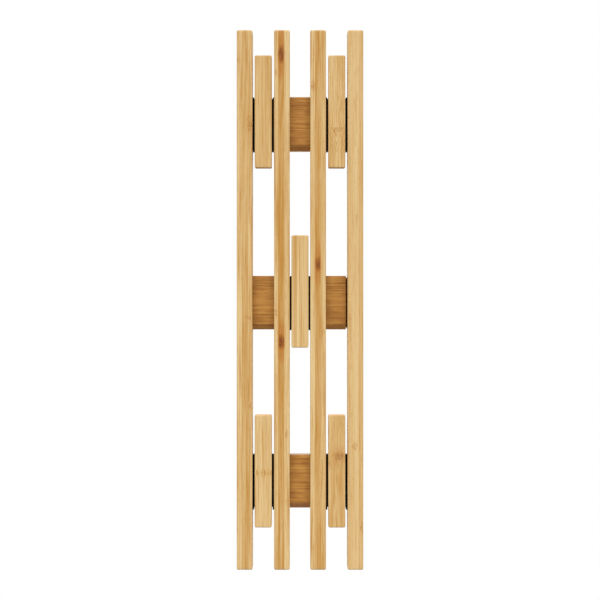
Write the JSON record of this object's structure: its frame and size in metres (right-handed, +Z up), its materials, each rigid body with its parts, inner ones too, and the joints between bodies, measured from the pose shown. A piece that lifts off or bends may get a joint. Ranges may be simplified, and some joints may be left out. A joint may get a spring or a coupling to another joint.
{
  "type": "wall coat rack",
  "caption": "Upright slatted bamboo wall rack whose short pegs fold out from between the slats on steel pins.",
  "frame": {"origin": "on the wall plane, at the middle of the rack's width and of the slats' length", "axes": "+Z up along the slats, +Y into the wall, +X to the right as seen from the room; the rack faces -Y"},
  "size_m": [0.1408, 0.032, 0.6],
  "materials": {
    "bamboo": "satin clear lacquer",
    "dark_bamboo": "satin clear lacquer",
    "black_steel": "matt powder coat",
    "bright_steel": "zinc plated",
    "rubber": "matt"
  },
  "bodies": {
    "frame": {"slat_outer_left": "bamboo", "slat_inner_left": "bamboo", "slat_inner_right": "bamboo", "slat_outer_right": "bamboo", "rail_top": "dark_bamboo", "rail_middle": "dark_bamboo", "rail_bottom": "dark_bamboo", "block_top": "dark_bamboo", "block_middle_left": "dark_bamboo", "block_middle_right": "dark_bamboo", "block_bottom": "dark_bamboo", "bracket_top_left": "black_steel", "bracket_top_right": "black_steel", "bracket_middle": "black_steel", "bracket_bottom_left": "black_steel", "bracket_bottom_right": "black_steel", "pin_top_left": "black_steel", "pin_top_right": "black_steel", "pin_middle": "black_steel", "pin_bottom_left": "black_steel", "pin_bottom_right": "black_steel", "bumper_top_left": "rubber", "bumper_top_right": "rubber", "bumper_middle": "rubber", "bumper_bottom_left": "rubber", "bumper_bottom_right": "rubber", "slat_screws": "bright_steel", "block_screws": "bright_steel", "bracket_screws": "bright_steel", "hanger_left": "bright_steel", "hanger_right": "bright_steel", "hanger_screws": "bright_steel"},
    "hook_top_left": {"peg_top_left": "bamboo"},
    "hook_top_right": {"peg_top_right": "bamboo"},
    "hook_middle": {"peg_middle": "bamboo"},
    "hook_bottom_left": {"peg_bottom_left": "bamboo"},
    "hook_bottom_right": {"peg_bottom_right": "bamboo"}
  },
  "joints": [
    {"name": "fold_top_left", "type": "hinge", "parent": "frame", "child": "hook_top_left", "pos_m": [-0.0409, -0.0269, 0.172], "axis": [1, 0, 0], "range_deg": [0, 45]},
    {"name": "fold_top_right", "type": "hinge", "parent": "frame", "child": "hook_top_right", "pos_m": [0.0409, -0.0269, 0.172], "axis": [1, 0, 0], "range_deg": [0, 45]},
    {"name": "fold_middle", "type": "hinge", "parent": "frame", "child": "hook_middle", "pos_m": [0, -0.0269, -0.028], "axis": [1, 0, 0], "range_deg": [0, 45]},
    {"name": "fold_bottom_left", "type": "hinge", "parent": "frame", "child": "hook_bottom_left", "pos_m": [-0.0409, -0.0269, -0.228], "axis": [1, 0, 0], "range_deg": [0, 45]},
    {"name": "fold_bottom_right", "type": "hinge", "parent": "frame", "child": "hook_bottom_right", "pos_m": [0.0409, -0.0269, -0.228], "axis": [1, 0, 0], "range_deg": [0, 45]}
  ]
}
